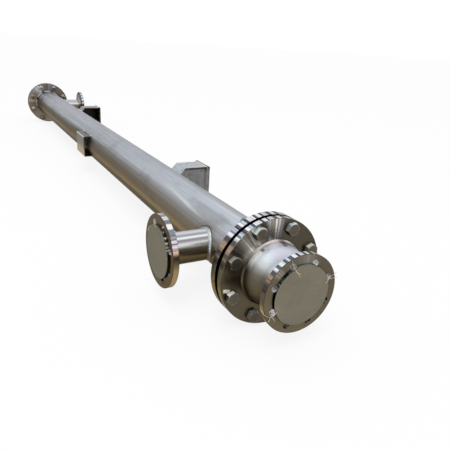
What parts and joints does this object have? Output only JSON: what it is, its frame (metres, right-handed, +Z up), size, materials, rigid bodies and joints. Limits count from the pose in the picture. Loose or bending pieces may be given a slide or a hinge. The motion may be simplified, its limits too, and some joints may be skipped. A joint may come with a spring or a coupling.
{
  "type": "shell and tube heat exchanger",
  "caption": "Straight shell and tube heat exchanger with bolted reducing channel ends, flanged side nozzles and two side saddles.",
  "frame": {"origin": "middle of the near saddle's outer face, which bolts to an upright frame", "axes": "+X out of the saddle face, +Y along the shell toward the far end, +Z up"},
  "size_m": [0.4373, 3.422, 0.285],
  "materials": {
    "shell_steel": "long fine drawing lines along the pipe, satin",
    "flange_steel": "turned, fine circular tool marks",
    "channel_steel": "blasted, satin",
    "pipe_steel": "pickled pipe, satin",
    "weld_metal": "rippled weld bead with a straw tint",
    "fastener_steel": "plain stainless fasteners",
    "gasket_sheet": "black fibre sheet, matt",
    "cover_sheet": "dull flat sheet",
    "saddle_steel": "mill finish plate, dull"
  },
  "bodies": {
    "root": {"shell": "shell_steel", "near_tubesheet": "flange_steel", "near_gasket": "gasket_sheet", "near_channel_flange": "flange_steel", "near_channel": "channel_steel", "near_end_flange": "flange_steel", "near_end_cover": "cover_sheet", "near_shell_weld": "weld_metal", "near_channel_weld": "weld_metal", "near_end_weld": "weld_metal", "near_bolts": "fastener_steel", "near_nuts": "fastener_steel", "near_nozzle_neck": "pipe_steel", "near_nozzle_flange": "flange_steel", "near_nozzle_cover": "cover_sheet", "near_nozzle_weld": "weld_metal", "near_saddle_base": "saddle_steel", "near_saddle_web": "saddle_steel", "near_saddle_top_rib": "saddle_steel", "near_saddle_bottom_rib": "saddle_steel", "far_tubesheet": "flange_steel", "far_gasket": "gasket_sheet", "far_channel_flange": "flange_steel", "far_channel": "channel_steel", "far_end_flange": "flange_steel", "far_end_cover": "cover_sheet", "far_shell_weld": "weld_metal", "far_channel_weld": "weld_metal", "far_end_weld": "weld_metal", "far_bolts": "fastener_steel", "far_nuts": "fastener_steel", "far_nozzle_neck": "pipe_steel", "far_nozzle_flange": "flange_steel", "far_nozzle_cover": "cover_sheet", "far_nozzle_weld": "weld_metal", "far_saddle_base": "saddle_steel", "far_saddle_web": "saddle_steel", "far_saddle_top_rib": "saddle_steel", "far_saddle_bottom_rib": "saddle_steel", "side_bracket": "saddle_steel"}
  },
  "joints": []
}
